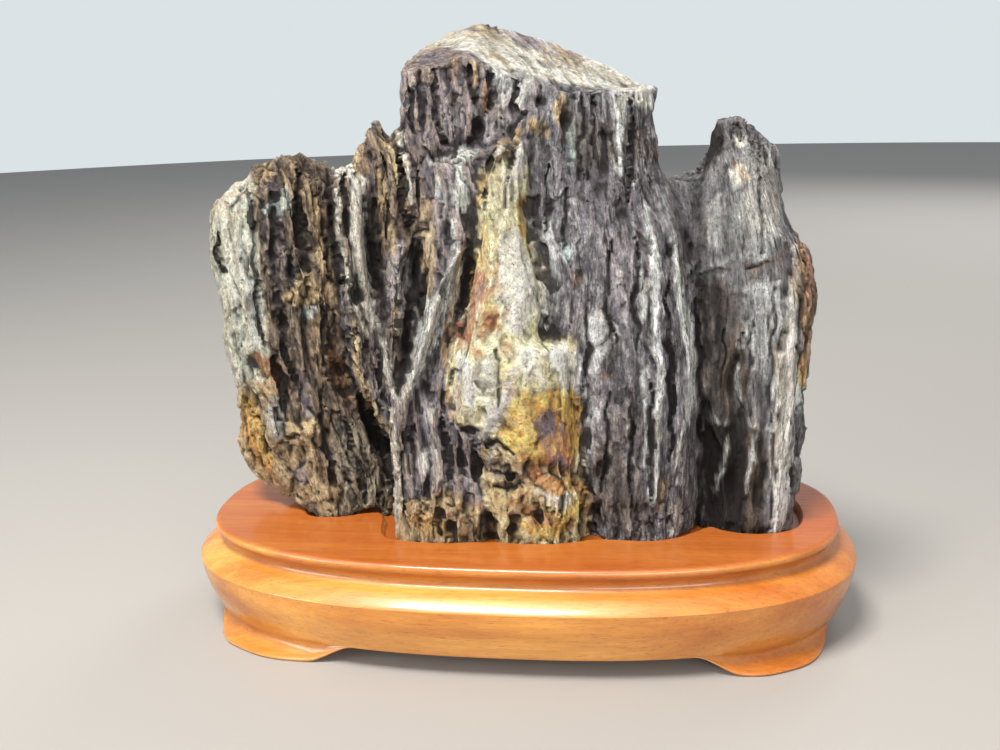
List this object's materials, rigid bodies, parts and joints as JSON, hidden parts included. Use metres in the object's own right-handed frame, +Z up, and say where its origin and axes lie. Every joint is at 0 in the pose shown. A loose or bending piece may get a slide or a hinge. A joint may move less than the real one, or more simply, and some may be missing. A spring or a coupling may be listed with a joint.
{
  "type": "suseok viewing stone on a carved wood stand",
  "caption": "Upright layered viewing stone resting in the shallow carved seat of an oval footed wood stand.",
  "frame": {"origin": "centre of the stand's footprint, in the plane that its feet stand on", "axes": "+Z up, +X along the stand's length to the right seen from the front, -Y towards the front of the stone"},
  "size_m": [0.3008, 0.1676, 0.2636],
  "materials": {
    "layered_rock": "matte",
    "oiled_wood": "gloss"
  },
  "bodies": {
    "root": {"stone": "layered_rock", "stand": "oiled_wood"}
  },
  "joints": []
}
